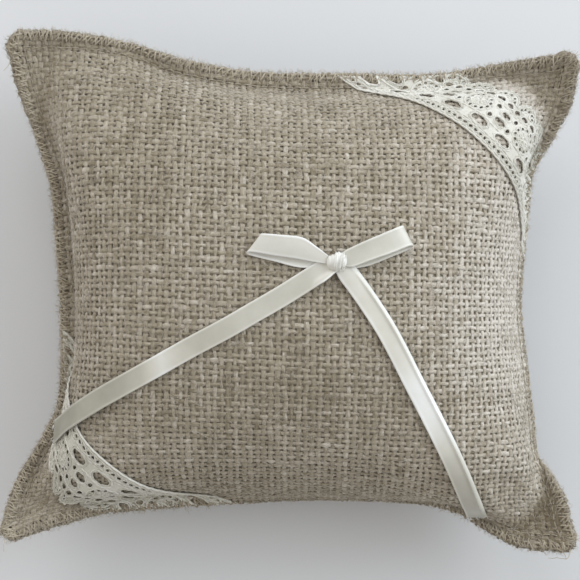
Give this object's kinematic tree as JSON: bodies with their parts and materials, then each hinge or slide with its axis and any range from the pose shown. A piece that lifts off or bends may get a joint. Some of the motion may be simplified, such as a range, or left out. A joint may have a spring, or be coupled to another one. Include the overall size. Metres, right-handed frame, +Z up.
{
  "type": "ring bearer pillow",
  "caption": "Small stuffed hessian pillow with an overlocked raw margin, cotton lace across opposite corners and a satin ribbon bow with long tails for tying on the wedding rings.",
  "frame": {"origin": "middle of the footprint, on the table that the pillow lies on", "axes": "+Z up out of the front face with the bow, +X to the right along the longer side, +Y to the pillow's top edge"},
  "size_m": [0.205, 0.1866, 0.0743],
  "materials": {
    "hessian": "natural jute plain weave, matt",
    "filling": "loose polyester fibre, matt",
    "thread": "spun sewing thread, matt",
    "lace": "unbleached cotton bobbin lace, matt",
    "ribbon": "ivory white satin, soft sheen"
  },
  "bodies": {
    "pillow": {"front_panel": "hessian", "back_panel": "hessian", "fibre_filling": "filling", "seam_thread_front": "thread", "seam_thread_back": "thread", "overlock_top": "thread", "overlock_right": "thread", "overlock_bottom": "thread", "overlock_left": "thread", "lace_upper_right": "lace", "lace_lower_left": "lace", "bow_knot": "ribbon", "bow_loop_left": "ribbon", "bow_loop_right": "ribbon", "tail_root_left": "ribbon", "tail_root_right": "ribbon", "tack_thread": "thread"},
    "tail_left": {"ribbon_tail_left": "ribbon"},
    "tail_right": {"ribbon_tail_right": "ribbon"}
  },
  "joints": [
    {"name": "tail_left_lift", "type": "hinge", "parent": "pillow", "child": "tail_left", "pos_m": [0.00535, 0.00305, 0.06744], "axis": [-0.5373, 0.8434, 0], "range_deg": [0, 70]},
    {"name": "tail_right_lift", "type": "hinge", "parent": "pillow", "child": "tail_right", "pos_m": [0.02267, 0.00092, 0.06675], "axis": [-0.8086, -0.5884, 0], "range_deg": [0, 70]}
  ]
}
